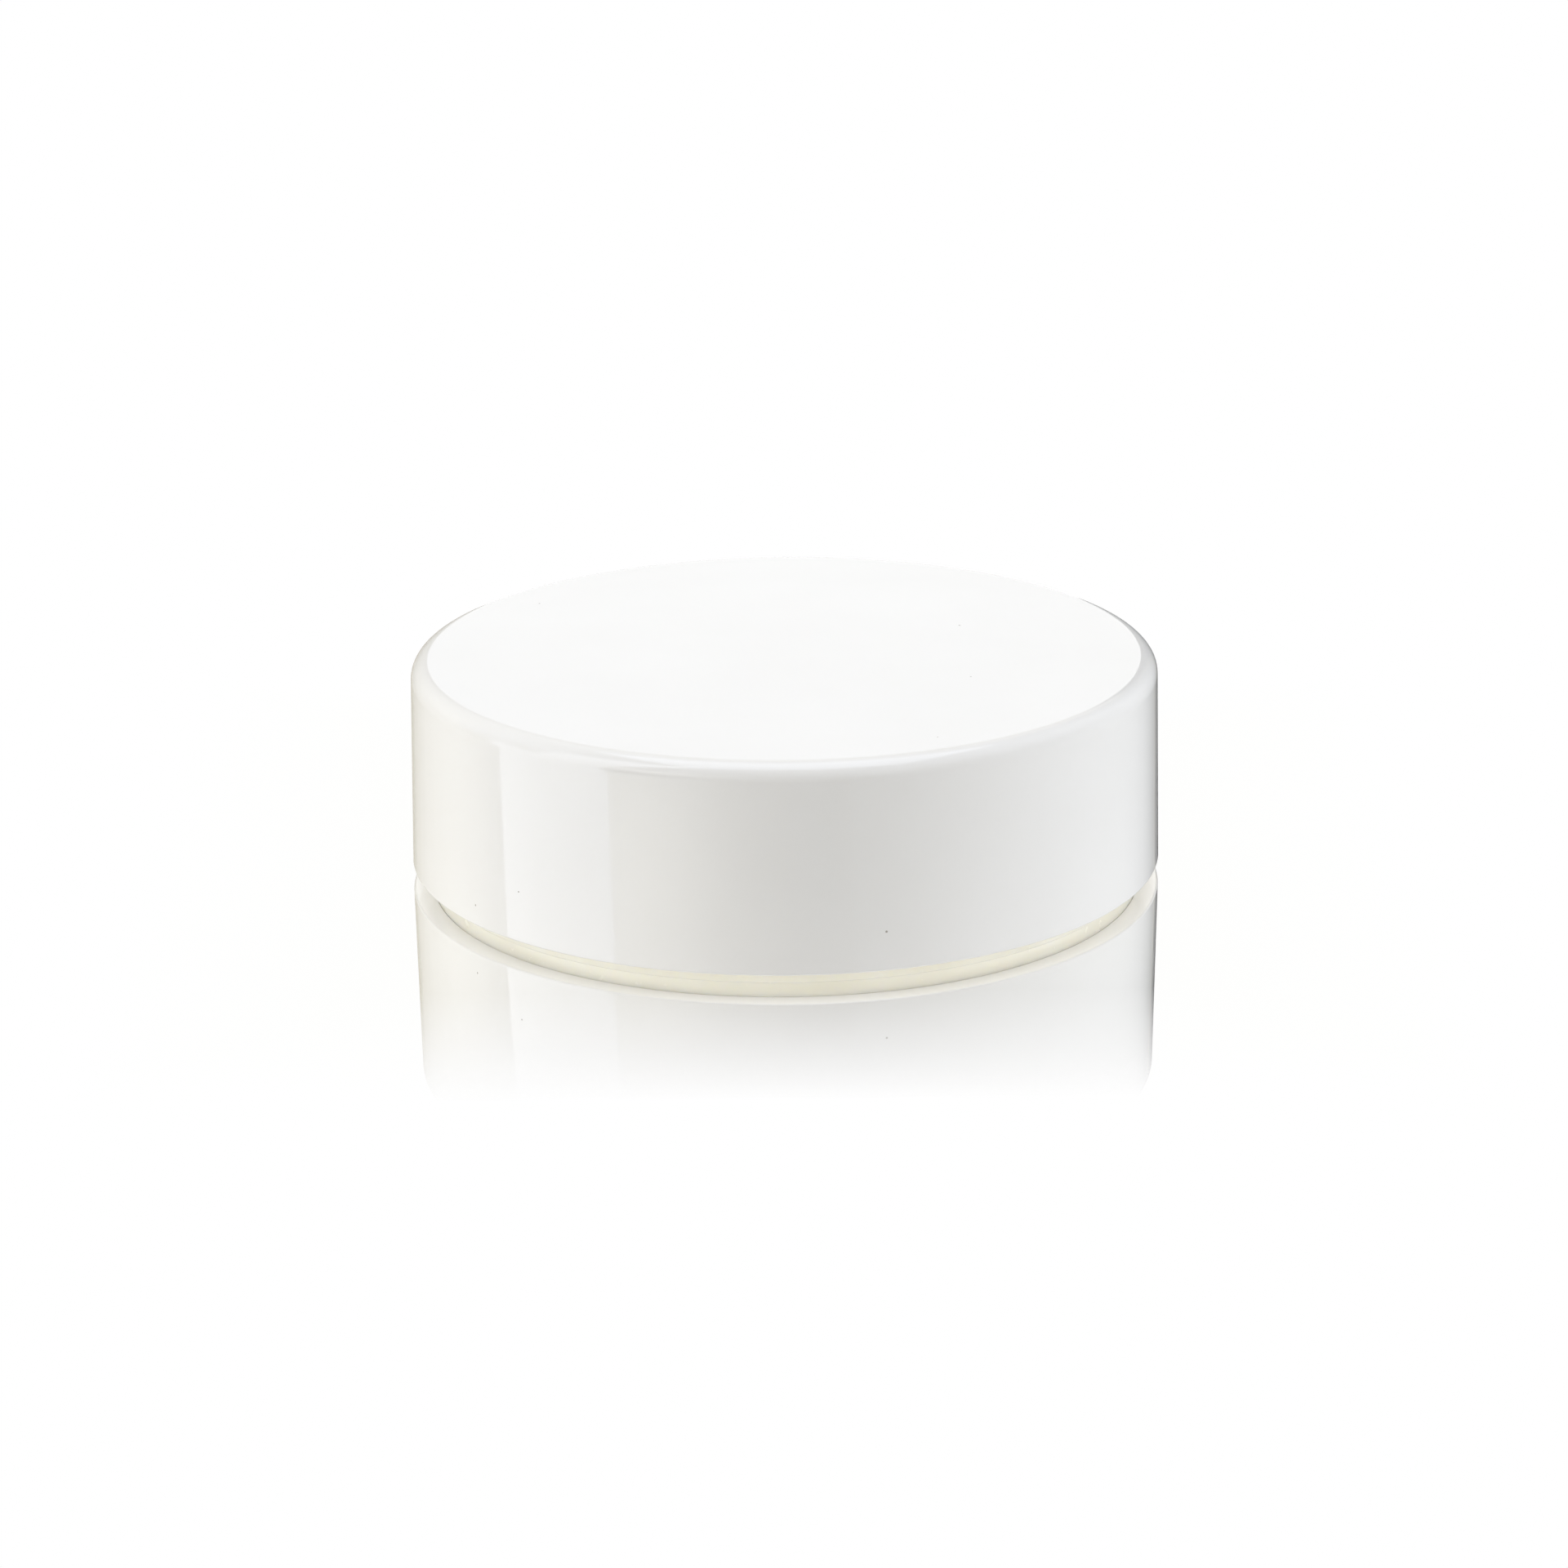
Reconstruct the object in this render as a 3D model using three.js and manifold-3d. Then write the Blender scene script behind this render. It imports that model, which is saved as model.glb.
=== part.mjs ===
// A cake of shaving soap in a low round tub with a glossy push-on lid.
// Millimetres, +Z up. The origin is the centre of the face that the tub stands on.
import * as THREE from 'three';
import { mergeVertices } from 'three/addons/utils/BufferGeometryUtils.js';
import Module from 'manifold-3d';

// ---- Driving dimensions ----
const TOTAL_HEIGHT = 25;
const RIM_HEIGHT = 1.6; // lowest edge of the closed lid, above the table
const RIM_RADIUS = 42.5; // outside of the lid at that edge
const TOP_RADIUS = 42.1; // outside of the lid carried up to its top plane: one degree of mould draft
const TOP_ROUND = 2; // radius between the lid's side and its flat top
const RIM_ROUND = 0.2; // radius along the lid's lower edges
const SHELL_WALL = 2.1;
const SHELL_TOP = 1.8;
const CAP_ROUND = 0.8; // radius between the top and the side inside the lid
const BEAD_HEIGHT = 12; // where the insert's bead sits in the shell's groove
const BEAD_HALF = 0.8;
const BEAD_DEPTH = 0.5;
const GAP = 0.3; // clearance between neighbouring pieces
const INSERT_TOP = 1.1;
const INSERT_ROUND = 0.3; // radius along the insert's lower edges
const LINER_THICKNESS = 1;
const LINER_ROUND = 0.25;
const FOOT_RADIUS = 40.1; // outside of the tub's foot, the band that shows under the lid
const FOOT_HEIGHT = 3.6;
const FOOT_WIDTH = 4.2; // flat ring that the tub stands on
const FOOT_ROUND = 0.1; // radius along the foot's lower outer edge
const SHOULDER_ROUND = 0.4;
const FOOT_RECESS = 0.7; // hollow under the tub's floor
const RECESS_ROUND = 0.3;
const GATE_RADIUS = 1.5; // dimple in the middle of the hollow
const GATE_DEPTH = 0.3;
const NECK_RADIUS = 38; // outside of the wall that the lid slides over
const NECK_WALL = 1.8;
const NECK_ROUND = 0.3; // radius between the neck and the shoulder
const LIP_ROUND = 0.6; // radius along both edges of the tub's rim
const BOWL_ROUND = 1.2; // radius between the tub's floor and its wall, which the soap follows
const TUB_FLOOR = 2.4; // height of the floor's upper face
const HEADSPACE = 4.8; // free height over the soap when the lid is on
const SOAP_ROUND = 1.4; // radius along the soap's upper edge
const GRIP_RIBS = 12;
const GRIP_RIB_DEPTH = 0.4;
const GRIP_RIB_WIDTH = 1.6;
const GRIP_RIB_ROOT = 0.5; // how far a rib runs back into the wall
const GRIP_RIB_START = 1; // height from the insert's lower edge to a rib's lower end
const SEGMENTS = 60; // facets round each turned piece

// ---- Heights that follow from them ----
const SHELL_UNDERSIDE = TOTAL_HEIGHT - SHELL_TOP;
const INSERT_TOP_FACE = SHELL_UNDERSIDE - GAP;
const INSERT_UNDERSIDE = INSERT_TOP_FACE - INSERT_TOP;
const INSERT_RIM = FOOT_HEIGHT + 2;
const LINER_TOP = INSERT_UNDERSIDE - GAP;
const LINER_BOTTOM = LINER_TOP - LINER_THICKNESS;
const TUB_RIM = LINER_BOTTOM - GAP;
const SOAP_TOP = LINER_BOTTOM - HEADSPACE;
const SOAP_BOTTOM = TUB_FLOOR + GAP;

// ---- Shape helpers ----

const SMALL_ROUND = 1; // fillets below this radius take fewer facets

// An outline in the plane of radius and height, from the axis out and back to it. Each corner is
// [radius, height, round], where round is its fillet radius, left out on a sharp one.
function roundedOutline(corners) {
  const points = [];
  corners.forEach(([x, y, round = 0], i) => {
    const corner = new THREE.Vector2(x, y);
    if (round === 0) {
      points.push(corner);
      return;
    }
    const back = new THREE.Vector2(...corners[i - 1]).sub(corner).normalize();
    const ahead = new THREE.Vector2(...corners[i + 1]).sub(corner).normalize();
    const halfAngle = Math.acos(back.dot(ahead)) / 2;
    const start = corner.clone().addScaledVector(back, round / Math.tan(halfAngle));
    const towardsCentre = back.clone().add(ahead).normalize();
    const centre = corner.clone().addScaledVector(towardsCentre, round / Math.sin(halfAngle));
    const turn = (Math.PI - 2 * halfAngle) * Math.sign(back.cross(ahead));
    const steps = round < SMALL_ROUND ? 2 : 4;
    for (let k = 0; k <= steps; k += 1) {
      points.push(start.clone().rotateAround(centre, (-turn * k) / steps));
    }
  });
  return points;
}

// A solid of revolution about +Z.
function turned(outline) {
  const geometry = new THREE.LatheGeometry(outline, SEGMENTS);
  return geometry.rotateX(Math.PI / 2);
}

const wasm = await Module();
wasm.setup();

function toSolid(geometry) {
  const bare = geometry.clone();
  bare.deleteAttribute('normal');
  bare.deleteAttribute('uv');
  const merged = mergeVertices(bare, 1e-4);
  return new wasm.Manifold(new wasm.Mesh({
    numProp: 3,
    vertProperties: new Float32Array(merged.attributes.position.array),
    triVerts: new Uint32Array(merged.index.array),
  }));
}

function toGeometry(solid) {
  const mesh = solid.getMesh();
  const geometry = new THREE.BufferGeometry();
  geometry.setAttribute('position', new THREE.BufferAttribute(mesh.vertProperties, 3));
  geometry.setIndex(new THREE.BufferAttribute(mesh.triVerts, 1));
  geometry.computeVertexNormals();
  return geometry;
}

// Outside radius of the drafted lid at a height.
function lidRadius(height) {
  const climb = (height - RIM_HEIGHT) / (TOTAL_HEIGHT - RIM_HEIGHT);
  return THREE.MathUtils.lerp(RIM_RADIUS, TOP_RADIUS, climb);
}

// ---- The lid ----

// The thick glossy outer cap. A shallow groove inside it takes the insert's bead.
function lidShell() {
  const bore = (height) => lidRadius(height) - SHELL_WALL;
  const grooveHalf = BEAD_HALF + GAP;
  return turned(roundedOutline([
    [0, SHELL_UNDERSIDE],
    [bore(SHELL_UNDERSIDE), SHELL_UNDERSIDE, CAP_ROUND],
    [bore(BEAD_HEIGHT + grooveHalf), BEAD_HEIGHT + grooveHalf],
    [bore(BEAD_HEIGHT) + BEAD_DEPTH, BEAD_HEIGHT + BEAD_HALF - BEAD_DEPTH + GAP],
    [bore(BEAD_HEIGHT) + BEAD_DEPTH, BEAD_HEIGHT - BEAD_HALF + BEAD_DEPTH - GAP],
    [bore(BEAD_HEIGHT - grooveHalf), BEAD_HEIGHT - grooveHalf],
    [bore(RIM_HEIGHT), RIM_HEIGHT, RIM_ROUND],
    [RIM_RADIUS, RIM_HEIGHT, RIM_ROUND],
    [TOP_RADIUS, TOTAL_HEIGHT, TOP_ROUND],
    [0, TOTAL_HEIGHT],
  ]));
}

// The inner cap. Upright ribs round its bore grip the tub's neck, and their upper ends keep the liner in.
function lidInsert() {
  const outside = (height) => lidRadius(height) - SHELL_WALL - GAP;
  const bore = NECK_RADIUS + GAP + GRIP_RIB_DEPTH;
  const cap = turned(roundedOutline([
    [0, INSERT_UNDERSIDE],
    [bore, INSERT_UNDERSIDE],
    [bore, INSERT_RIM, INSERT_ROUND],
    [outside(INSERT_RIM), INSERT_RIM, INSERT_ROUND],
    [outside(BEAD_HEIGHT - BEAD_HALF), BEAD_HEIGHT - BEAD_HALF],
    [outside(BEAD_HEIGHT) + BEAD_DEPTH, BEAD_HEIGHT - BEAD_HALF + BEAD_DEPTH],
    [outside(BEAD_HEIGHT) + BEAD_DEPTH, BEAD_HEIGHT + BEAD_HALF - BEAD_DEPTH],
    [outside(BEAD_HEIGHT + BEAD_HALF), BEAD_HEIGHT + BEAD_HALF],
    [outside(INSERT_TOP_FACE), INSERT_TOP_FACE, CAP_ROUND],
    [0, INSERT_TOP_FACE],
  ]));
  const ribBottom = INSERT_RIM + GRIP_RIB_START;
  const ribTop = LINER_BOTTOM - GAP;
  const ribDepth = GRIP_RIB_DEPTH + GRIP_RIB_ROOT;
  let solid = toSolid(cap);
  for (let i = 0; i < GRIP_RIBS; i += 1) {
    const rib = new THREE.BoxGeometry(ribDepth, GRIP_RIB_WIDTH, ribTop - ribBottom);
    rib.translate(bore - GRIP_RIB_DEPTH + ribDepth / 2, 0, (ribTop + ribBottom) / 2);
    rib.rotateZ((2 * Math.PI * (i + 0.5)) / GRIP_RIBS);
    solid = solid.add(toSolid(rib));
  }
  return toGeometry(solid);
}

// The foam wad in the top of the insert, which closes on the tub's rim.
function lidLiner() {
  const radius = NECK_RADIUS + GRIP_RIB_DEPTH;
  return turned(roundedOutline([
    [0, LINER_BOTTOM],
    [radius, LINER_BOTTOM, LINER_ROUND],
    [radius, LINER_TOP, LINER_ROUND],
    [0, LINER_TOP],
  ]));
}

// ---- The tub ----

// A straight foot, a shoulder, and the neck that the lid slides over. The floor is raised inside the foot
// and has the mould's gate mark, a small dimple, in the middle of its underside.
function tub() {
  const recess = FOOT_RADIUS - FOOT_WIDTH;
  return turned(roundedOutline([
    [0, FOOT_RECESS + GATE_DEPTH],
    [GATE_RADIUS, FOOT_RECESS],
    [recess, FOOT_RECESS, RECESS_ROUND],
    [recess + FOOT_RECESS / 2, 0],
    [FOOT_RADIUS, 0, FOOT_ROUND],
    [FOOT_RADIUS, FOOT_HEIGHT, SHOULDER_ROUND],
    [NECK_RADIUS, FOOT_HEIGHT, NECK_ROUND],
    [NECK_RADIUS, TUB_RIM, LIP_ROUND],
    [NECK_RADIUS - NECK_WALL, TUB_RIM, LIP_ROUND],
    [NECK_RADIUS - NECK_WALL, TUB_FLOOR, BOWL_ROUND],
    [0, TUB_FLOOR],
  ]));
}

// The cake of soap. Its lower edge follows the round corner of the tub's floor.
function soapPuck() {
  const radius = NECK_RADIUS - NECK_WALL - GAP;
  return turned(roundedOutline([
    [0, SOAP_BOTTOM],
    [radius, SOAP_BOTTOM, BOWL_ROUND],
    [radius, SOAP_TOP, SOAP_ROUND],
    [0, SOAP_TOP],
  ]));
}

// ---- Materials and assembly ----

const glossyWhite = new THREE.MeshStandardMaterial({ color: 0xf1f0ed, roughness: 0.08, metalness: 0 });
const satinWhite = new THREE.MeshStandardMaterial({ color: 0xefeeea, roughness: 0.4, metalness: 0 });
const foamWhite = new THREE.MeshStandardMaterial({ color: 0xf4f3f0, roughness: 0.9, metalness: 0 });
const milkyCream = new THREE.MeshStandardMaterial({ color: 0xdedbca, roughness: 0.3, metalness: 0 });
const soapCream = new THREE.MeshStandardMaterial({ color: 0xefe6c8, roughness: 0.55, metalness: 0 });

function piece(name, geometry, material) {
  const mesh = new THREE.Mesh(geometry, material);
  mesh.name = name;
  return mesh;
}

const lid = new THREE.Group();
lid.add(piece('lid_shell', lidShell(), glossyWhite));
lid.add(piece('lid_insert', lidInsert(), satinWhite));
lid.add(piece('lid_liner', lidLiner(), foamWhite));

const base = new THREE.Group();
base.add(piece('tub', tub(), milkyCream));
base.add(piece('soap_puck', soapPuck(), soapCream));

const liddedTub = new THREE.Group();
liddedTub.add(lid, base);

export default liddedTub;
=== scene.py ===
"""A low tub of shaving soap with a glossy white push-on lid, on a mirror-like white floor in a light tent."""

import math

import bmesh
import bpy
from mathutils import Matrix, Vector, noise as fractal


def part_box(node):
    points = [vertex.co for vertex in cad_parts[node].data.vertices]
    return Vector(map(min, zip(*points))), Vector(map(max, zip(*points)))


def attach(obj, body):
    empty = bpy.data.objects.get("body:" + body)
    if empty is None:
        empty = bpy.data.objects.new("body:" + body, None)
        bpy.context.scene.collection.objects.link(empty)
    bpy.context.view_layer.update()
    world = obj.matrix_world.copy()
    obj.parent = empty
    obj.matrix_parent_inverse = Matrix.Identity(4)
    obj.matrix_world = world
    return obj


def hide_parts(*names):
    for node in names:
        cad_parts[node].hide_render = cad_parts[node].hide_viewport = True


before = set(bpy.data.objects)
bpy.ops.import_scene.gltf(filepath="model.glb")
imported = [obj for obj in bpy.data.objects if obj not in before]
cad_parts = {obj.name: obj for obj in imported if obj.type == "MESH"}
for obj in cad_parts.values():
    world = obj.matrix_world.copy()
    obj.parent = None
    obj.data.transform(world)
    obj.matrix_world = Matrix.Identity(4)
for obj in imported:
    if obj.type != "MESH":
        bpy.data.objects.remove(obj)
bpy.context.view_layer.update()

MM = 0.001


# ---- Sizes in metres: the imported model's, then those of the details that the finer meshes add ----

def radius_of(node):
    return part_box(node)[1].x


def bottom_of(node):
    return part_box(node)[0].z


def top_of(node):
    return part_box(node)[1].z


TOTAL_HEIGHT = top_of("lid_shell")
RIM_HEIGHT = bottom_of("lid_shell")
RIM_RADIUS = radius_of("lid_shell")
FOOT_RADIUS = radius_of("tub")
TUB_RIM = top_of("tub")
INSERT_RIM = bottom_of("lid_insert")
INSERT_TOP = top_of("lid_insert")
LINER_RADIUS = radius_of("lid_liner")
LINER_BOTTOM = bottom_of("lid_liner")
LINER_TOP = top_of("lid_liner")
SOAP_RADIUS = radius_of("soap_puck")
SOAP_TOP = top_of("soap_puck")
SOAP_BOTTOM = bottom_of("soap_puck")

GAP = 0.3 * MM  # between pieces that would touch

DRAFT = 0.4 * MM  # how much narrower the lid is at its top than at its rim
SHELL_WALL = 2.1 * MM
SHELL_TOP = 1.8 * MM
TOP_ROUND = 2 * MM
RIM_ROUND = 0.2 * MM
RIM_INNER_ROUND = 0.04 * MM
SHELL_CORNER = 0.8 * MM
SKIRT_TOP = 3.2 * MM  # the shell's wall is a little thicker below this height, close round the tub's foot
SKIRT_GAIN = 0.25 * MM
BEAD_HEIGHT = 12 * MM
BEAD_HALF = 0.8 * MM
BEAD_DEPTH = 0.5 * MM

FOOT_HEIGHT = 3.6 * MM
FOOT_WIDTH = 4.2 * MM
FOOT_RECESS = 0.7 * MM
FOOT_ROUND = 0.02 * MM
RECESS_ROUND = 0.3 * MM
GATE_RADIUS = 1.5 * MM
GATE_DEPTH = 0.3 * MM
CORE_INSIDE = 11 * MM  # the mould's core left a shallow step underneath, from this radius to the next
CORE_OUTSIDE = 29 * MM
CORE_STEP = 0.12 * MM
CORE_SLOPE = 0.2 * MM
SHOULDER_ROUND = 0.4 * MM
NECK_RADIUS = 38 * MM
NECK_WALL = 1.8 * MM
NECK_ROOT_ROUND = 0.3 * MM
NECK_RIM_ROUND = 0.6 * MM
TUB_FLOOR = 2.4 * MM
TUB_CORNER = 1.2 * MM

GRIP_RIBS = 12
GRIP_RIB_DEPTH = 0.4 * MM
GRIP_RIB_WIDTH = 1.6 * MM
INSERT_UNDERSIDE = LINER_TOP + GAP
INSERT_BORE = NECK_RADIUS + GAP + GRIP_RIB_DEPTH
INSERT_RIM_ROUND = 0.3 * MM
INSERT_CORNER = 0.8 * MM
RIB_BOTTOM = INSERT_RIM + 1 * MM
RIB_TOP = LINER_BOTTOM - GAP
RIB_END = 0.1 * MM  # the bore has a ring of points this far above the ribs too
RIB_LEAD = 1.5 * MM  # length of the ramp at a rib's lower end
RIB_RAMP = (1, 0.6, 0.25, 0)  # points down the ramp, in shares of its length
RIB_SECTION = (-1.2, -1.0, -0.9, -0.7, -0.4, 0, 0.4, 0.7, 0.9, 1.0, 1.2)  # points across it, in half widths
RIB_SPACING = 12  # steps from one rib to the next

PRESS_DEPTH = 0.14 * MM  # of the ring that the tub's rim leaves in the wad
PRESS_SLOPE = 0.4 * MM
PRESS_INSET = 0.1 * MM  # how far inside the neck's outside it ends
PRESS_ROUND = 0.25 * MM
PRESS_EDGE_ROUND = 0.15 * MM
LINER_ROUND = 0.2 * MM
LINER_DIVISION = 1.5 * MM
LINER_SWELL_SIZE = 6 * MM
LINER_SWELL = 0.05  # share of the thickness

SOAP_BORDER = 5.2 * MM  # width of the cake's flat border
DISH_EDGE = 6.8 * MM  # how far in from the cake's side the dish is deepest
DISH_DEPTH = 1.1 * MM
DISH_MIDDLE_DEPTH = 0.6 * MM
SOAP_FOOT_ROUND = 1.2 * MM
SOAP_EDGE_ROUND = 1.8 * MM
BORDER_ROUND = 1.2 * MM
DISH_ROUND = 1.5 * MM
SOAP_DIVISION = 0.7 * MM
SOAP_SEGMENTS = 384
SKIN_LUMPS = ((11, 0.09), (3.2, 0.035), (0.9, 0.012))  # size and height of each unevenness, in mm
SKIN_SINK = 0.13  # the whole skin lies this far in, in mm, so that its lumps stay within the cake's size
KNOCK_SIZE = 4.5 * MM
KNOCK_SHIFT = Vector((9, 4, 2))  # where in the noise the knocks are taken from
KNOCK_LEVEL = 0.32  # only noise above this makes a knock
KNOCK_DEPTH = 1.4  # in mm for each unit of noise above that
KNOCK_INSET = 1 * MM  # knocks are deepest this far in from the cake's side
KNOCK_REACH = 1.6 * MM

SEGMENTS = 256  # faces round each turned piece
AXIS = 1e-7  # a point nearer than this to the axis lies on it
SHARP_EDGE = 35  # degrees


# ---- Camera ----

# The camera stands in front of the object, looks a little down on it and leans half a degree.
CAMERA_DISTANCE = 13.652 * RIM_RADIUS
CAMERA_ELEVATION = math.radians(18.896)
CAMERA_ROLL = math.radians(-0.512)
CAMERA_TARGET = Vector((-0.0032 * RIM_RADIUS, 0, 0.2196 * RIM_RADIUS))
CAMERA_DROP = 0.012 * RIM_RADIUS
SENSOR_WIDTH = 36.0
LENS = 116.3


def add_camera():
    data = bpy.data.cameras.new("camera")
    data.sensor_width = SENSOR_WIDTH
    data.lens = LENS
    camera = bpy.data.objects.new("camera", data)
    bpy.context.scene.collection.objects.link(camera)
    camera.location = (
        0,
        -CAMERA_DISTANCE * math.cos(CAMERA_ELEVATION),
        CAMERA_DISTANCE * math.sin(CAMERA_ELEVATION) - CAMERA_DROP,
    )
    aim = (CAMERA_TARGET - camera.location).to_track_quat("-Z", "Y").to_matrix()
    camera.rotation_euler = (aim @ Matrix.Rotation(CAMERA_ROLL, 3, "Z")).to_euler()
    bpy.context.scene.camera = camera


add_camera()


# ---- Shapes ----

def rounded_outline(corners, steps=8):
    """Points of an outline [radius, height, round], from the axis out and back, with each corner's fillet."""
    points = []
    for i, (x, y, *more) in enumerate(corners):
        corner = Vector((x, y))
        fillet = more[0] if more else 0
        if fillet == 0:
            points.append(corner)
            continue
        back = (Vector(corners[i - 1][:2]) - corner).normalized()
        ahead = (Vector(corners[i + 1][:2]) - corner).normalized()
        half = back.angle(ahead) / 2
        start = corner + back * (fillet / math.tan(half))
        centre = corner + (back + ahead).normalized() * (fillet / math.sin(half))
        turn = (math.pi - 2 * half) * (1 if back.cross(ahead) < 0 else -1)
        for k in range(steps + 1):
            points.append(centre + Matrix.Rotation(turn * k / steps, 2) @ (start - centre))
    return points


def divided(outline, step):
    """The outline with its long straight stretches cut into pieces no longer than step."""
    points = [outline[0]]
    for a, b in zip(outline, outline[1:]):
        count = max(1, math.ceil((b - a).length / step))
        points += [a.lerp(b, k / count) for k in range(1, count + 1)]
    return points


def even_angles(count=SEGMENTS):
    return [2 * math.pi * i / count for i in range(count)]


def spun(outline, angles=None, wall=None):
    """The solid that the outline makes when it is turned about Z. It starts and ends on the axis.
    wall(radius, angle, height), if given, says how far from the axis a point of the outline lies there."""
    bm = bmesh.new()
    angles = angles or even_angles()
    rings = []
    for x, z in outline:
        if x < AXIS:
            rings.append([bm.verts.new((0, 0, z))])
            continue
        radii = [wall(x, a, z) if wall else x for a in angles]
        rings.append([bm.verts.new((r * math.cos(a), r * math.sin(a), z)) for r, a in zip(radii, angles)])
    for lower, upper in zip(rings, rings[1:]):
        for i in range(len(angles)):
            j = (i + 1) % len(angles)
            if len(lower) == 1:
                bm.faces.new((lower[0], upper[j], upper[i]))
            elif len(upper) == 1:
                bm.faces.new((lower[i], lower[j], upper[0]))
            else:
                bm.faces.new((lower[i], lower[j], upper[j], upper[i]))
    return bm


def made(name, bm, material):
    """An object with bm's mesh and the material. It uses bm up."""
    mesh = bpy.data.meshes.new(name)
    bm.to_mesh(mesh)
    bm.free()
    mesh.materials.append(material)
    thing = bpy.data.objects.new(name, mesh)
    bpy.context.scene.collection.objects.link(thing)
    return thing


def finished(name, bm, material, sharp_edge=SHARP_EDGE):
    """A piece from bm, smooth-shaded except over sharp edges."""
    bmesh.ops.recalc_face_normals(bm, faces=bm.faces)
    for edge in bm.edges:
        edge.smooth = edge.calc_face_angle(0) < math.radians(sharp_edge)
    for face in bm.faces:
        face.smooth = True
    return made(name, bm, material)


def lid_radius(height):
    climb = (height - RIM_HEIGHT) / (TOTAL_HEIGHT - RIM_HEIGHT)
    return RIM_RADIUS - DRAFT * climb


def shell_bore(height):
    return lid_radius(height) - SHELL_WALL


def insert_radius(height):
    return shell_bore(height) - GAP


# ---- Building materials from nodes ----

def new_material(name, **sockets):
    """A Principled material with plain values on its sockets, its node tree and its shader."""
    material = bpy.data.materials.new(name)
    material.use_nodes = True
    shader = material.node_tree.nodes["Principled BSDF"]
    for socket, value in sockets.items():
        shader.inputs[socket.replace("_", " ")].default_value = value
    return material, material.node_tree, shader


def empty_material(name):
    """A material with nothing but an output yet, its node tree and the output's Surface socket."""
    material = bpy.data.materials.new(name)
    material.use_nodes = True
    tree = material.node_tree
    tree.nodes.clear()
    output = tree.nodes.new("ShaderNodeOutputMaterial")
    return material, tree, output.inputs["Surface"]


def object_place(tree, stretch=(1, 1, 1), turn=0.0):
    """The object's own coordinates in metres, stretched, and turned about Z."""
    place = tree.nodes.new("ShaderNodeTexCoord")
    mapping = tree.nodes.new("ShaderNodeMapping")
    mapping.vector_type = "TEXTURE"
    mapping.inputs["Scale"].default_value = stretch
    mapping.inputs["Rotation"].default_value = (0, 0, turn)
    tree.links.new(place.outputs["Object"], mapping.inputs["Vector"])
    return mapping.outputs["Vector"]


def noise(tree, size, detail=2.0, roughness=0.5, place=None):
    """A noise texture with features about size metres across."""
    texture = tree.nodes.new("ShaderNodeTexNoise")
    texture.inputs["Scale"].default_value = 1 / size
    texture.inputs["Detail"].default_value = detail
    texture.inputs["Roughness"].default_value = roughness
    tree.links.new(place or object_place(tree), texture.inputs["Vector"])
    return texture.outputs["Fac"]


def cells(tree, size, output="Distance"):
    """A Voronoi texture with cells about size metres across."""
    texture = tree.nodes.new("ShaderNodeTexVoronoi")
    texture.inputs["Scale"].default_value = 1 / size
    tree.links.new(object_place(tree), texture.inputs["Vector"])
    return texture.outputs[output]


def spread(tree, value, low=0.0, high=1.0, start=0.3, end=0.7):
    """value, from start to end, stretched to low to high. Noise lies mostly between 0.3 and 0.7."""
    stretch = tree.nodes.new("ShaderNodeMapRange")
    stretch.inputs["From Min"].default_value = start
    stretch.inputs["From Max"].default_value = end
    stretch.inputs["To Min"].default_value = low
    stretch.inputs["To Max"].default_value = high
    tree.links.new(value, stretch.inputs["Value"])
    return stretch.outputs["Result"]


def math_node(tree, operation, first, second=None):
    """The result of a Math node. Each operand is a number or a socket."""
    node = tree.nodes.new("ShaderNodeMath")
    node.operation = operation
    for socket, value in zip(node.inputs, (first, second)):
        if isinstance(value, (int, float)):
            socket.default_value = value
        elif value is not None:
            tree.links.new(value, socket)
    return node.outputs[0]


def mixed(tree, value, low, high):
    """A colour that runs from low to high with value. Each is three numbers or another colour's socket."""
    mix = tree.nodes.new("ShaderNodeMix")
    mix.data_type = "RGBA"
    for socket, colour in (("A", low), ("B", high)):
        if isinstance(colour, tuple):
            mix.inputs[socket].default_value = (*colour, 1)
        else:
            tree.links.new(colour, mix.inputs[socket])
    tree.links.new(value, mix.inputs["Factor"])
    return mix.outputs["Result"]


def either(tree, value, first, second):
    """The first shader where value is 0 and the second where it is 1."""
    mix = tree.nodes.new("ShaderNodeMixShader")
    tree.links.new(value, mix.inputs["Fac"])
    tree.links.new(first, mix.inputs[1])
    tree.links.new(second, mix.inputs[2])
    return mix.outputs["Shader"]


def bumped(tree, shader, value, depth):
    """The shader's surface rises by up to depth metres with value. A second call adds to the first."""
    bump = tree.nodes.new("ShaderNodeBump")
    bump.inputs["Strength"].default_value = 1.0
    bump.inputs["Distance"].default_value = depth
    for link in shader.inputs["Normal"].links:
        tree.links.new(link.from_socket, bump.inputs["Normal"])
    tree.links.new(value, bump.inputs["Height"])
    tree.links.new(bump.outputs["Normal"], shader.inputs["Normal"])


def specks(tree, spacing, radius, share):
    """1 on a few round specks of that radius, in a share of the cells of that spacing, and 0 elsewhere."""
    near = math_node(tree, "LESS_THAN", cells(tree, spacing), radius / spacing)
    split = tree.nodes.new("ShaderNodeSeparateColor")
    tree.links.new(cells(tree, spacing, "Color"), split.inputs["Color"])
    chosen = math_node(tree, "LESS_THAN", split.outputs["Red"], share)
    return math_node(tree, "MULTIPLY", near, chosen)


def hairlines(tree, degrees, length, width):
    """1 along fine straight hairlines, turned that far about Z, and 0 between them."""
    place = object_place(tree, stretch=(length, width, length), turn=math.radians(degrees))
    return spread(tree, noise(tree, size=1.0, detail=1.0, place=place), start=0.68, end=0.72)


# ---- The pieces' materials ----

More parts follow.
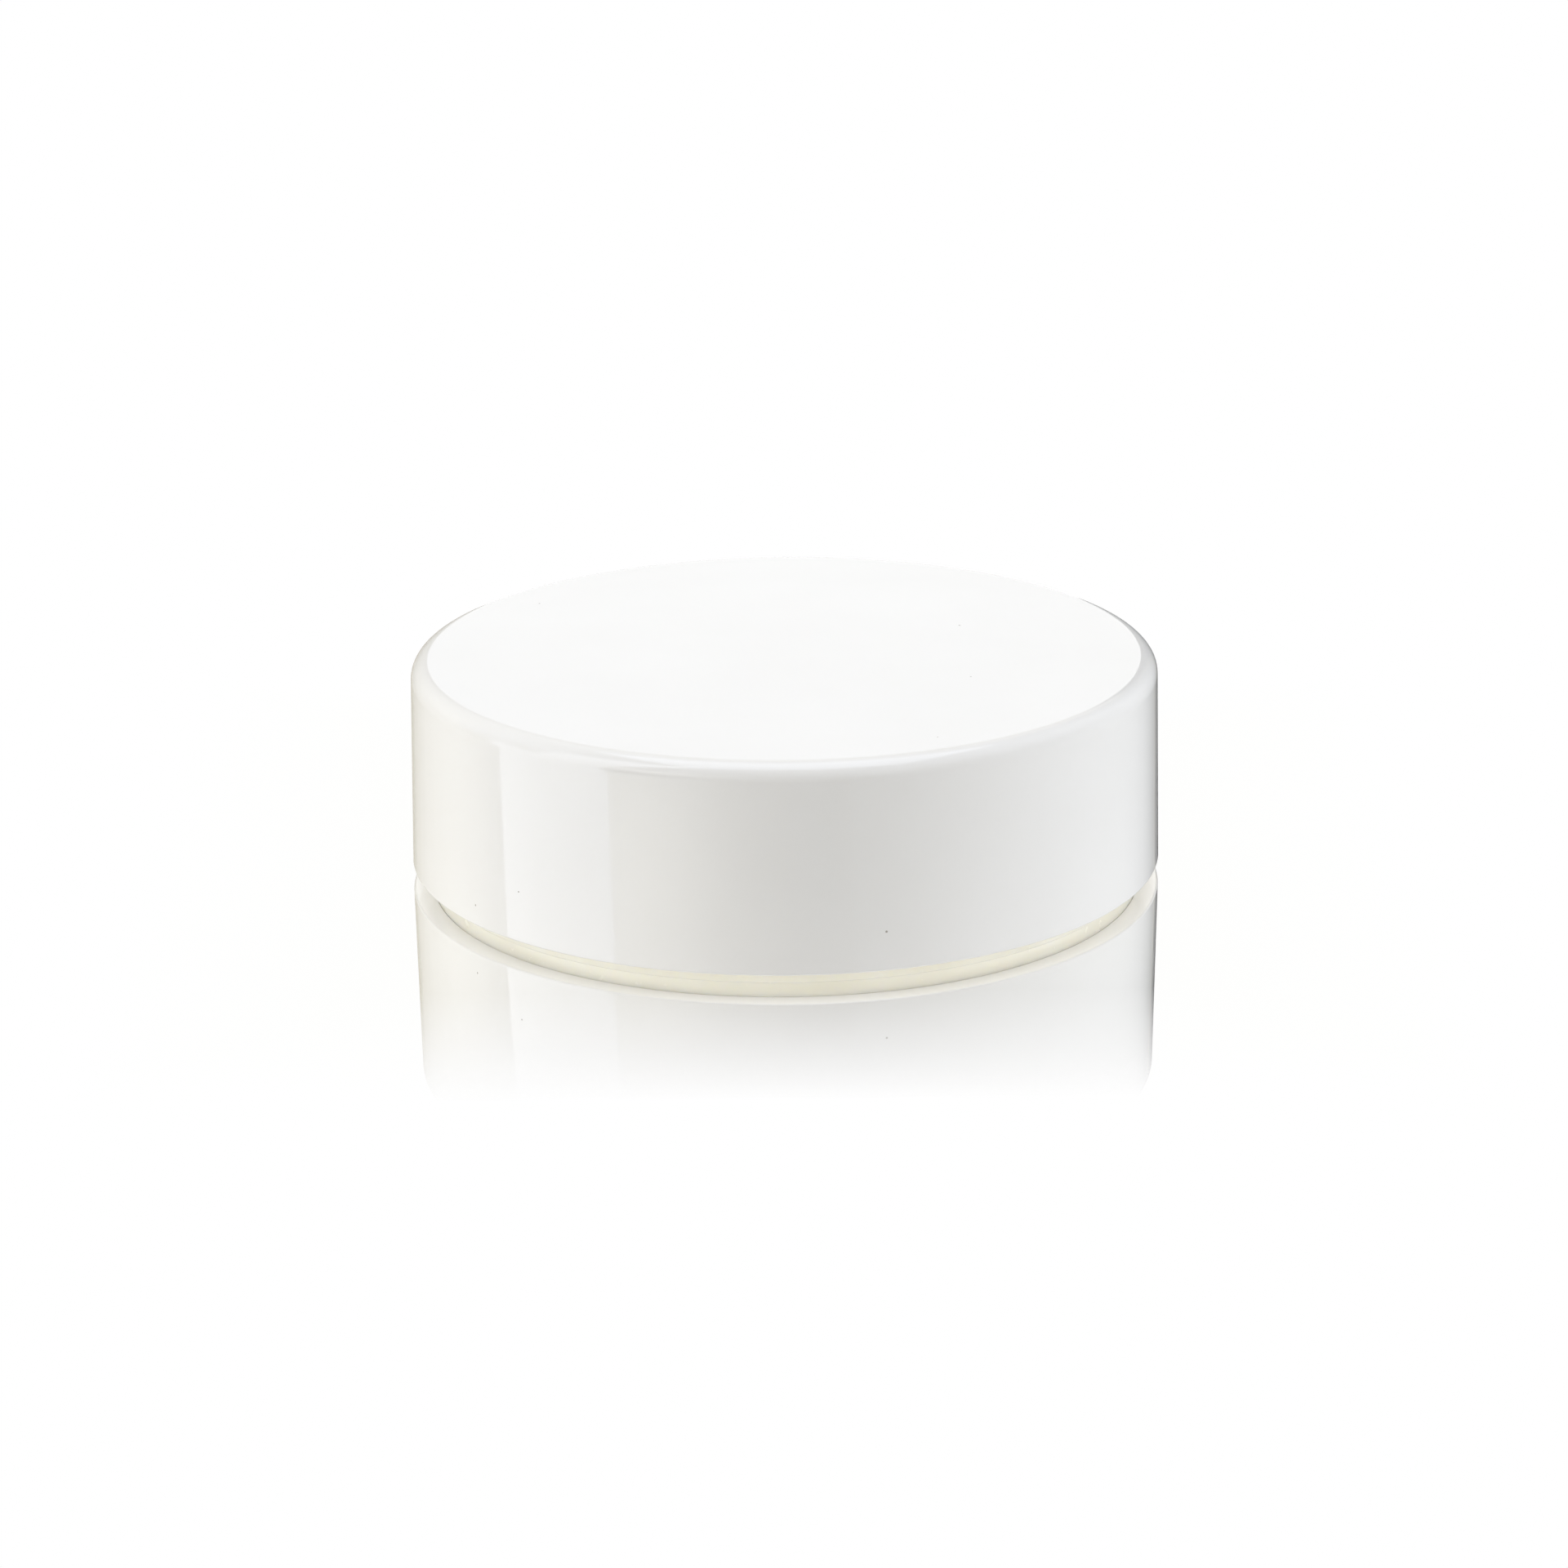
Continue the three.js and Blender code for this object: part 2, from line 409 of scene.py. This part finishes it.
# Each colour pair is the darker and the lighter tone of a surface.
LID_TONES = ((0.865, 0.852, 0.828), (0.88, 0.868, 0.845))
LID_SPECK = (0.42, 0.39, 0.34)
INSERT_TONES = ((0.8, 0.79, 0.76), (0.86, 0.853, 0.83))
FOAM_TONES = ((0.8, 0.8, 0.78), (0.9, 0.9, 0.885))
TUB_TONES = ((0.86, 0.835, 0.735), (0.885, 0.865, 0.775))
SOAP_TONES = ((0.9, 0.82, 0.62), (0.93, 0.87, 0.71))
SOAP_BLOOM = (0.95, 0.91, 0.79)
# Painted shade: the darker colour inside the soap's pinholes.
SOAP_PINHOLE_SHADE = (0.6, 0.5, 0.32)
RUB_HAZE = 0.04  # roughness that a hairline adds
LARGE_CELLS = 0.7  # how strongly the foam's large cells show beside its small ones


def gloss_white():
    """Polished moulded plastic: long faint waves, the least haze, a few hairlines and rare specks."""
    material, tree, shader = new_material("lid_gloss", IOR=1.5)
    base = mixed(tree, spread(tree, noise(tree, size=17 * MM)), *LID_TONES)
    dots = specks(tree, spacing=5 * MM, radius=0.13 * MM, share=0.3)
    tree.links.new(mixed(tree, dots, base, LID_SPECK), shader.inputs["Base Color"])
    haze = spread(tree, noise(tree, size=1.1 * MM, detail=3), low=0.008, high=0.024)
    long_rubs = hairlines(tree, degrees=24, length=22 * MM, width=0.12 * MM)
    short_rubs = hairlines(tree, degrees=-51, length=16 * MM, width=0.1 * MM)
    rubs = math_node(tree, "MAXIMUM", long_rubs, short_rubs)
    rubbed = math_node(tree, "ADD", haze, math_node(tree, "MULTIPLY", rubs, RUB_HAZE))
    tree.links.new(rubbed, shader.inputs["Roughness"])
    bumped(tree, shader, noise(tree, size=18 * MM, detail=1), depth=0.02 * MM)
    bumped(tree, shader, cells(tree, size=7 * MM), depth=0.004 * MM)
    return material


def satin_white():
    """The duller moulding inside the lid, with a fine spark-eroded grain and flow marks."""
    material, tree, shader = new_material("insert_satin", IOR=1.49)
    flow = noise(tree, size=11 * MM, detail=4, roughness=0.6)
    tree.links.new(mixed(tree, spread(tree, flow), *INSERT_TONES), shader.inputs["Base Color"])
    dullness = spread(tree, noise(tree, size=0.7 * MM, detail=3), low=0.32, high=0.5)
    tree.links.new(dullness, shader.inputs["Roughness"])
    bumped(tree, shader, noise(tree, size=0.17 * MM, detail=2), depth=0.012 * MM)
    bumped(tree, shader, flow, depth=0.02 * MM)
    return material


def foam_white():
    """Closed-cell foam sheet: a skin of small uneven cells, a little brighter over each cell's middle."""
    material, tree, shader = new_material("liner_foam", IOR=1.45)
    small, large = cells(tree, size=0.45 * MM), cells(tree, size=1.3 * MM)
    skin = math_node(tree, "ADD", small, math_node(tree, "MULTIPLY", large, LARGE_CELLS))
    edge, middle = FOAM_TONES
    tone = mixed(tree, spread(tree, skin, start=0.2, end=1.1), middle, edge)
    tree.links.new(tone, shader.inputs["Base Color"])
    tree.links.new(spread(tree, noise(tree, size=0.8 * MM), low=0.6, high=0.85), shader.inputs["Roughness"])
    bumped(tree, shader, skin, depth=0.06 * MM)
    return material


def milky_cream():
    """Milky natural plastic that light soaks into, with a faint flow pattern from the mould."""
    material, tree, shader = new_material(
        "tub_milky", IOR=1.5,
        Subsurface_Weight=0.7, Subsurface_Radius=(1.0, 0.9, 0.65), Subsurface_Scale=0.8 * MM,
    )
    flow = noise(tree, size=8 * MM, detail=3)
    tree.links.new(mixed(tree, spread(tree, flow), *TUB_TONES), shader.inputs["Base Color"])
    gloss = spread(tree, noise(tree, size=1.4 * MM, detail=4), low=0.14, high=0.28)
    tree.links.new(gloss, shader.inputs["Roughness"])
    rubs = hairlines(tree, degrees=35, length=14 * MM, width=0.15 * MM)
    bumped(tree, shader, noise(tree, size=2.4 * MM, detail=3), depth=0.008 * MM)
    bumped(tree, shader, rubs, depth=0.003 * MM)
    return material


def soap_cream():
    """Hard pressed soap: waxy and slightly clouded, with patches of paler bloom, fine grain and pinholes. The
    pinholes are painted darker, as painted shade inside them.
    """
    material, tree, shader = new_material(
        "soap", IOR=1.46,
        Subsurface_Weight=0.5, Subsurface_Radius=(1.0, 0.8, 0.5), Subsurface_Scale=2.5 * MM,
    )
    cloud = mixed(tree, spread(tree, noise(tree, size=14 * MM, detail=5, roughness=0.6)), *SOAP_TONES)
    patches = noise(tree, size=3.5 * MM, detail=6, roughness=0.7)
    bloomed = mixed(tree, spread(tree, patches, high=0.5, start=0.5, end=0.68), cloud, SOAP_BLOOM)
    holes = specks(tree, spacing=2.2 * MM, radius=0.16 * MM, share=0.35)
    # The pinholes are painted darker: painted shade.
    tree.links.new(mixed(tree, holes, bloomed, SOAP_PINHOLE_SHADE), shader.inputs["Base Color"])
    waxiness = spread(tree, noise(tree, size=2 * MM, detail=4), low=0.36, high=0.62)
    tree.links.new(waxiness, shader.inputs["Roughness"])
    bumped(tree, shader, noise(tree, size=1.1 * MM, detail=5, roughness=0.65), depth=0.05 * MM)
    bumped(tree, shader, math_node(tree, "SUBTRACT", 1.0, holes), depth=0.08 * MM)
    return material


# ---- Pieces ----

def placed(piece, node, body):
    """The piece stands for the CAD node and moves with the body."""
    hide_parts(node)
    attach(piece, body)


def lid_shell():
    """The thick glossy outer cap, with a shallow groove inside for the insert's bead."""
    under = TOTAL_HEIGHT - SHELL_TOP
    groove = BEAD_HALF + GAP
    outline = rounded_outline([
        (0, under),
        (shell_bore(under), under, SHELL_CORNER),
        (shell_bore(BEAD_HEIGHT + groove), BEAD_HEIGHT + groove),
        (shell_bore(BEAD_HEIGHT) + BEAD_DEPTH, BEAD_HEIGHT + groove - BEAD_DEPTH),
        (shell_bore(BEAD_HEIGHT) + BEAD_DEPTH, BEAD_HEIGHT - groove + BEAD_DEPTH),
        (shell_bore(BEAD_HEIGHT - groove), BEAD_HEIGHT - groove),
        (shell_bore(SKIRT_TOP), SKIRT_TOP + SKIRT_GAIN),
        (shell_bore(SKIRT_TOP) - SKIRT_GAIN, SKIRT_TOP),
        (shell_bore(RIM_HEIGHT) - SKIRT_GAIN, RIM_HEIGHT, RIM_INNER_ROUND),
        (RIM_RADIUS, RIM_HEIGHT, RIM_ROUND),
        (RIM_RADIUS - DRAFT, TOTAL_HEIGHT, TOP_ROUND),
        (0, TOTAL_HEIGHT),
    ], steps=16)
    placed(finished("glossy_lid_shell", spun(outline), gloss_white()), "lid_shell", "lid_body")


def rib_angles():
    """Angles round the insert, close together over each grip rib."""
    half = GRIP_RIB_WIDTH / 2 / INSERT_BORE
    pitch = 2 * math.pi / GRIP_RIBS
    start, end = RIB_SECTION[-1] * half, pitch - RIB_SECTION[-1] * half
    gap = [start + (end - start) * k / RIB_SPACING for k in range(1, RIB_SPACING)]
    one_pitch = [half * t for t in RIB_SECTION] + gap
    return [pitch * (i + 0.5) + a for i in range(GRIP_RIBS) for a in one_pitch]


def ribbed(radius, angle, height):
    """The insert's wall: its bore swells inwards over each rib, which ramps up from its lower end and from
    there tapers off to nothing at its top."""
    if abs(radius - INSERT_BORE) > AXIS or not RIB_BOTTOM <= height < RIB_TOP:
        return radius
    pitch = 2 * math.pi / GRIP_RIBS
    offset = (angle / pitch) % 1 - 0.5
    across = abs(offset) * pitch * INSERT_BORE / (GRIP_RIB_WIDTH / 2)
    ramp = min(1, (height - RIB_BOTTOM) / RIB_LEAD)
    return radius - GRIP_RIB_DEPTH * max(0, 1 - across ** 4) * math.sin(ramp * math.pi / 2)


def lid_insert():
    """The satin inner cap, whose upright ribs grip the tub's neck."""
    outline = rounded_outline([
        (0, INSERT_UNDERSIDE),
        (INSERT_BORE, INSERT_UNDERSIDE),
        (INSERT_BORE, RIB_TOP + RIB_END),
        (INSERT_BORE, RIB_TOP),
        *((INSERT_BORE, RIB_BOTTOM + RIB_LEAD * share) for share in RIB_RAMP),
        (INSERT_BORE, INSERT_RIM, INSERT_RIM_ROUND),
        (insert_radius(INSERT_RIM), INSERT_RIM, INSERT_RIM_ROUND),
        (insert_radius(BEAD_HEIGHT - BEAD_HALF), BEAD_HEIGHT - BEAD_HALF),
        (insert_radius(BEAD_HEIGHT) + BEAD_DEPTH, BEAD_HEIGHT - BEAD_HALF + BEAD_DEPTH),
        (insert_radius(BEAD_HEIGHT) + BEAD_DEPTH, BEAD_HEIGHT + BEAD_HALF - BEAD_DEPTH),
        (insert_radius(BEAD_HEIGHT + BEAD_HALF), BEAD_HEIGHT + BEAD_HALF),
        (insert_radius(INSERT_TOP), INSERT_TOP, INSERT_CORNER),
        (0, INSERT_TOP),
    ])
    bm = spun(outline, rib_angles(), ribbed)
    placed(finished("ribbed_lid_insert", bm, satin_white()), "lid_insert", "lid_body")


def lid_liner():
    """The foam wad, with a ring pressed into its underside by the tub's rim."""
    inner, outer = NECK_RADIUS - NECK_WALL, NECK_RADIUS - PRESS_INSET
    pressed = LINER_BOTTOM + PRESS_DEPTH
    outline = rounded_outline([
        (0, LINER_BOTTOM),
        (inner, LINER_BOTTOM, PRESS_ROUND),
        (inner + PRESS_SLOPE, pressed, PRESS_ROUND),
        (outer - PRESS_SLOPE, pressed, PRESS_ROUND),
        (outer, LINER_BOTTOM, PRESS_EDGE_ROUND),
        (LINER_RADIUS, LINER_BOTTOM, LINER_ROUND),
        (LINER_RADIUS, LINER_TOP, LINER_ROUND),
        (0, LINER_TOP),
    ], steps=4)
    bm = spun(divided(outline, LINER_DIVISION))
    middle = (LINER_TOP + LINER_BOTTOM) / 2
    for vert in bm.verts:
        swell = fractal.noise(vert.co / LINER_SWELL_SIZE)
        vert.co.z = middle + (vert.co.z - middle) * (1 - LINER_SWELL + LINER_SWELL * swell)
    placed(finished("foam_liner_disc", bm, foam_white()), "lid_liner", "lid_body")


def tub():
    """The milky tub: a straight foot, a shoulder and the neck that the lid slides over. Its underside is
    recessed, with the faint steps of the mould's core and a gate mark in the middle."""
    recess = FOOT_RADIUS - FOOT_WIDTH
    outline = rounded_outline([
        (0, FOOT_RECESS + GATE_DEPTH),
        (GATE_RADIUS, FOOT_RECESS),
        (CORE_INSIDE, FOOT_RECESS),
        (CORE_INSIDE + CORE_SLOPE, FOOT_RECESS + CORE_STEP),
        (CORE_OUTSIDE, FOOT_RECESS + CORE_STEP),
        (CORE_OUTSIDE + CORE_SLOPE, FOOT_RECESS),
        (recess, FOOT_RECESS, RECESS_ROUND),
        (recess + FOOT_RECESS / 2, 0),
        (FOOT_RADIUS, 0, FOOT_ROUND),
        (FOOT_RADIUS, FOOT_HEIGHT, SHOULDER_ROUND),
        (NECK_RADIUS, FOOT_HEIGHT, NECK_ROOT_ROUND),
        (NECK_RADIUS, TUB_RIM, NECK_RIM_ROUND),
        (NECK_RADIUS - NECK_WALL, TUB_RIM, NECK_RIM_ROUND),
        (NECK_RADIUS - NECK_WALL, TUB_FLOOR, TUB_CORNER),
        (0, TUB_FLOOR),
    ])
    placed(finished("milky_tub", spun(outline), milky_cream()), "tub", "tub_body")


def worn(place, outward):
    """Where a point of the cake's skin really lies: it is a little uneven, with small knocks on its edge."""
    rise = sum(fractal.noise(place / (size * MM)) * height for size, height in SKIN_LUMPS)
    edge = 1 - min(1, abs(math.hypot(place.x, place.y) - SOAP_RADIUS + KNOCK_INSET) / KNOCK_REACH)
    knock = max(0, fractal.noise(place / KNOCK_SIZE + KNOCK_SHIFT) - KNOCK_LEVEL) * KNOCK_DEPTH * edge
    return place + outward * ((rise - SKIN_SINK - knock) * MM)


def soap_puck():
    """The pressed cake: a shallow dish inside a rounded border."""
    outline = rounded_outline([
        (0, SOAP_BOTTOM),
        (SOAP_RADIUS, SOAP_BOTTOM, SOAP_FOOT_ROUND),
        (SOAP_RADIUS, SOAP_TOP, SOAP_EDGE_ROUND),
        (SOAP_RADIUS - SOAP_BORDER, SOAP_TOP, BORDER_ROUND),
        (SOAP_RADIUS - DISH_EDGE, SOAP_TOP - DISH_DEPTH, DISH_ROUND),
        (0, SOAP_TOP - DISH_MIDDLE_DEPTH),
    ])
    bm = spun(divided(outline, SOAP_DIVISION), even_angles(SOAP_SEGMENTS))
    bmesh.ops.recalc_face_normals(bm, faces=bm.faces)
    bm.normal_update()
    for vert, place in [(vert, worn(vert.co, vert.normal)) for vert in bm.verts]:
        vert.co = place
    placed(finished("soap_cake", bm, soap_cream(), sharp_edge=180), "soap_puck", "tub_body")


lid_shell()
lid_insert()
lid_liner()
tub()
soap_puck()


# ---- Studio ----

# A dome of cloth glows softly round the object. Inside it four plain sheets are brighter and a flag is black.
# Azimuth 0 is the camera's side of the object and 90 is on its right; elevation is above the horizon. Both
# are in degrees.
ARC_STEP = 3  # degrees between the points of a curved sheet
DOME_RADIUS = 5.0
DOME_GLOW = (0.15, 0.12, 0.06)
POOLS = (  # azimuth, elevation, their half widths and brightness of each pool of light or shade on the cloth
    (-44, 17, 24, 7, 2.1),
    (-112, 14, 20, 18, 0.55),
    (-120, 12, 50, 36, 0.46),
    (180, 40, 62, 24, 0.55),
    (8, 17, 14, 14, -0.2),
)
POOL_TINT = (1.0, 0.985, 0.9)

# Each flat sheet is given by its four corners.
SHEET_STEPS = 24
SOFTBOX = ((-1.32, -0.9, 0), (-1.58, 0.22, 0), (-1.51, 0.0, 0.98), (-0.48, -0.58, 1.41))
SOFTBOX_GLOW = 2.2  # at its far end, which is at azimuth SOFTBOX_START
SOFTBOX_GAIN = 0.55  # and how much more SOFTBOX_RAMP degrees nearer the camera
SOFTBOX_START = -98
SOFTBOX_RAMP = 43
SOFTBOX_TINT = (0.975, 1.0, 1.055)
SCREEN = ((1, 2.5, 0), (1, -2.9, 0), (1, -2.9, 2.9), (1, 2.5, 2.9))
SCREEN_BASE = 0.07
SCREEN_SPOTS = (  # Y and Z of each spot's middle, its spread along both and its brightness
    (-0.4, 0.3, 0.9, 0.4, 1.1),
    (0.0, 0.5, 1.4, 1.2, 1.0),
    (-1.9, 0.8, 1.2, 0.5, 0.45),
)
SCREEN_TINT = (0.98, 1.0, 1.03)
OVERHEAD = ((-0.8, -0.8, 2), (1.2, -0.8, 2), (1.2, 1.1, 2), (-0.8, 1.1, 2))
OVERHEAD_GLOW = (2.0, 2.1, 2.3)
BACKDROP = ((-0.49, 4, 0), (0.49, 4, 0), (0.49, 4, 1.6), (-0.49, 4, 1.6))
BACKDROP_GLOW = (1.15, 1.15, 1.15)
FLAG = ((0.92, 2.5, 0), (0.36, 2.9, 0), (0.36, 2.9, 1.3), (0.92, 2.5, 1.3))
BLACK = (0, 0, 0)
WHITE = (1, 1, 1)


def plain_world():
    """A plain white background for the camera, which doesn't see the dome."""
    world = bpy.data.worlds.new("studio")
    world.use_nodes = True
    world.node_tree.nodes["Background"].inputs["Color"].default_value = (*WHITE, 1)
    bpy.context.scene.world = world
    bpy.context.scene.view_settings.view_transform = "Standard"


def first_hit(tree, ray):
    """1 for a ray that has bounced once at most, and 0 for others."""
    return math_node(tree, "LESS_THAN", ray.outputs["Ray Depth"], 1.5)


def glow_material():
    """Light of the mesh's own colour. Seen in the floor's mirror alone, it is plain white."""
    material, tree, surface = empty_material("studio_glow")
    attribute = tree.nodes.new("ShaderNodeAttribute")
    attribute.attribute_name = "glow"
    ray = tree.nodes.new("ShaderNodeLightPath")
    mirrored = math_node(tree, "MULTIPLY", first_hit(tree, ray), ray.outputs["Is Singular Ray"])
    emission = tree.nodes.new("ShaderNodeEmission")
    tree.links.new(mixed(tree, mirrored, attribute.outputs["Color"], WHITE), emission.inputs["Color"])
    tree.links.new(emission.outputs["Emission"], surface)
    return material


def glowing_sheet(name, rows, material, colour_at):
    """A sheet of glowing cloth through the rows of points, unseen by the camera itself."""
    bm = bmesh.new()
    glow = bm.verts.layers.float_color.new("glow")
    grid = [[bm.verts.new(place) for place in row] for row in rows]
    for vert in bm.verts:
        vert[glow] = (*colour_at(vert.co), 1)
    for lower, upper in zip(grid, grid[1:]):
        for i in range(len(lower) - 1):
            bm.faces.new((lower[i], lower[i + 1], upper[i + 1], upper[i]))
    sheet = made(name, bm, material)
    sheet.visible_camera = False
    return sheet


def direction(azimuth, elevation=0.0):
    a, e = math.radians(azimuth), math.radians(elevation)
    return Vector((math.sin(a) * math.cos(e), -math.cos(a) * math.cos(e), math.sin(e)))


def azimuth_of(place):
    return math.degrees(math.atan2(place.x, -place.y))


def flat(corners):
    """Rows of points over the sheet between four corners."""
    p, q, r, s = (Vector(corner) for corner in corners)
    steps = [k / SHEET_STEPS for k in range(SHEET_STEPS + 1)]
    return [[p.lerp(q, u).lerp(s.lerp(r, u), v) for u in steps] for v in steps]


def upright_band(radius, heights, start=-180, end=180):
    """Rows of points round the object at that radius, one at each height, from one azimuth to another."""
    return [
        [direction(azimuth) * radius + Vector((0, 0, z)) for azimuth in range(start, end + 1, ARC_STEP)]
        for z in heights
    ]


def even(colour):
    """The same light all over a sheet."""
    return lambda place: colour


def cloth_glow(place):
    """The dome's colour at a point of it: its own faint glow and the pools of light."""
    azimuth = azimuth_of(place)
    elevation = math.degrees(math.asin(min(1, place.z / DOME_RADIUS)))
    light = 0
    for a, e, wide, high, brightness in POOLS:
        across = ((azimuth - a + 180) % 360 - 180) / wide
        light += brightness * math.exp(-across ** 2 - ((elevation - e) / high) ** 2)
    return [max(0, glow + light * tint) for glow, tint in zip(DOME_GLOW, POOL_TINT)]


def softbox_glow(place):
    """The softbox is brighter towards the end that is nearer the camera."""
    light = SOFTBOX_GLOW + SOFTBOX_GAIN * min(1, (azimuth_of(place) - SOFTBOX_START) / SOFTBOX_RAMP)
    return [light * tint for tint in SOFTBOX_TINT]


def screen_glow(place):
    """The screen on the right is lit from behind."""
    light = SCREEN_BASE
    for y, z, along, up, brightness in SCREEN_SPOTS:
        light += brightness * math.exp(-((place.y - y) / along) ** 2 - ((place.z - z) / up) ** 2)
    return [light * tint for tint in SCREEN_TINT]


def light_dome(glow):
    """The dome and the flat sheets inside it."""
    dome = [
        [direction(azimuth, elevation) * DOME_RADIUS for azimuth in range(-180, 181, ARC_STEP)]
        for elevation in range(0, 90, ARC_STEP)
    ]
    glowing_sheet("cloth_dome", dome, glow, cloth_glow)
    glowing_sheet("left_softbox", flat(SOFTBOX), glow, softbox_glow)
    glowing_sheet("right_screen", flat(SCREEN), glow, screen_glow)
    glowing_sheet("overhead_softbox", flat(OVERHEAD), glow, even(OVERHEAD_GLOW))
    glowing_sheet("backdrop", flat(BACKDROP), glow, even(BACKDROP_GLOW))
    glowing_sheet("dark_flag", flat(FLAG), glow, even(BLACK))


# Dim curved cards hide the softbox and the screen where the lid's top would show them, to a camera on the
# other side. Without them that top is as white as the background.
CARD_SPANS = ((-108, -72), (30, 126))  # azimuths
CARD_RADIUS = 0.2
CARD_HEIGHTS = (0.052, 0.2)
CARD_GLOW = 0.85


def card_material():
    """A dim glow that shows in the pieces' own shine alone. It is clear to every other ray."""
    material, tree, surface = empty_material("sheen_card")
    ray = tree.nodes.new("ShaderNodeLightPath")
    glossy = math_node(tree, "MULTIPLY", first_hit(tree, ray), ray.outputs["Is Glossy Ray"])
    seen = math_node(tree, "GREATER_THAN", glossy, ray.outputs["Is Singular Ray"])
    clear = tree.nodes.new("ShaderNodeBsdfTransparent")
    glow = tree.nodes.new("ShaderNodeEmission")
    glow.inputs["Strength"].default_value = CARD_GLOW
    tree.links.new(either(tree, seen, clear.outputs[0], glow.outputs[0]), surface)
    return material


def sheen_cards():
    material = card_material()
    for start, end in CARD_SPANS:
        rows = upright_band(CARD_RADIUS, CARD_HEIGHTS, start, end)
        card = glowing_sheet("sheen_card", rows, material, even(WHITE))
        card.visible_diffuse = False
        card.visible_transmission = False
        card.visible_shadow = False


# A low ring of light under the lid's rim stands for the light that the floor scatters round the foot.
RING_RADIUS = RIM_RADIUS - 0.2 * MM
RING_BOTTOM = 0.05 * MM
RING_TOP = RIM_HEIGHT - 0.05 * MM
RING_GLOW_BELOW = (1.0, 1.0, 1.0)
RING_GLOW_ABOVE = (1.3, 1.3, 1.3)


def ring_glow(place):
    return RING_GLOW_ABOVE if place.z > RIM_HEIGHT / 2 else RING_GLOW_BELOW


def rim_light(glow):
    """It lights the foot and the rim's underside alone, goes with the lid, and mirrors don't show it."""
    ring = glowing_sheet("rim_light", upright_band(RING_RADIUS, (RING_BOTTOM, RING_TOP)), glow, ring_glow)
    ring.visible_glossy = False
    ring.visible_transmission = False
    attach(ring, "lid_body")


FLOOR_HALF = 20
FLOOR_HEIGHT = -0.01 * MM  # the floor lies this far under the foot, so that the two don't share a plane
MIRROR_COLOUR = (0.995, 0.995, 0.985)
FADE_START = 1.0  # the mirror fades to plain white from here to FADE_END, both in lid radii
FADE_END = 1.74
GLOW_NEAR = 0.16  # light that comes up through the floor within GLOW_REACH lid radii
GLOW_REACH = 1.3
UNDER_GLOW = 0.18  # and more of it under the lid


def fade_out(tree, place):
    """0 on the floor within a square round the object, and 1 outside a larger one."""
    split = tree.nodes.new("ShaderNodeSeparateXYZ")
    tree.links.new(place, split.inputs["Vector"])
    across = math_node(tree, "ABSOLUTE", split.outputs["X"])
    along = math_node(tree, "ABSOLUTE", split.outputs["Y"])
    out = math_node(tree, "MAXIMUM", across, along)
    return spread(tree, out, start=FADE_START * RIM_RADIUS, end=FADE_END * RIM_RADIUS)


def rising_light(tree, place):
    """How much light comes up through the floor, in two even discs round the object."""
    length = tree.nodes.new("ShaderNodeVectorMath")
    length.operation = "LENGTH"
    tree.links.new(place, length.inputs[0])
    distance = length.outputs["Value"]
    near = math_node(tree, "LESS_THAN", distance, GLOW_REACH * RIM_RADIUS)
    under = math_node(tree, "LESS_THAN", distance, RIM_RADIUS)
    wide = math_node(tree, "MULTIPLY", near, GLOW_NEAR)
    return math_node(tree, "ADD", wide, math_node(tree, "MULTIPLY", under, UNDER_GLOW))


def floor_material():
    """A mirror that fades to white for the camera and lights the pieces a little. It is clear from below."""
    material, tree, surface = empty_material("floor")
    place = tree.nodes.new("ShaderNodeTexCoord").outputs["Object"]
    ray = tree.nodes.new("ShaderNodeLightPath")
    by_camera = ray.outputs["Is Camera Ray"]

    mirror = tree.nodes.new("ShaderNodeBsdfGlossy")
    mirror.inputs["Roughness"].default_value = 0
    mirror.inputs["Color"].default_value = (*MIRROR_COLOUR, 1)
    white = tree.nodes.new("ShaderNodeEmission")
    faded = math_node(tree, "MULTIPLY", fade_out(tree, place), by_camera)
    seen = either(tree, faded, mirror.outputs[0], white.outputs[0])

    glow = tree.nodes.new("ShaderNodeEmission")
    lit = math_node(tree, "MULTIPLY", rising_light(tree, place), ray.outputs["Is Diffuse Ray"])
    tree.links.new(lit, glow.inputs["Strength"])
    add = tree.nodes.new("ShaderNodeAddShader")
    tree.links.new(seen, add.inputs[0])
    tree.links.new(glow.outputs[0], add.inputs[1])

    back = tree.nodes.new("ShaderNodeNewGeometry").outputs["Backfacing"]
    clear = tree.nodes.new("ShaderNodeBsdfTransparent")
    from_below = math_node(tree, "MULTIPLY", back, by_camera)
    tree.links.new(either(tree, from_below, add.outputs[0], clear.outputs[0]), surface)
    return material


def floor():
    bm = bmesh.new()
    bmesh.ops.create_grid(bm, x_segments=1, y_segments=1, size=FLOOR_HALF)
    ground = made("floor", bm, floor_material())
    ground.location.z = FLOOR_HEIGHT


studio_glow = glow_material()
plain_world()
light_dome(studio_glow)
sheen_cards()
rim_light(studio_glow)
floor()
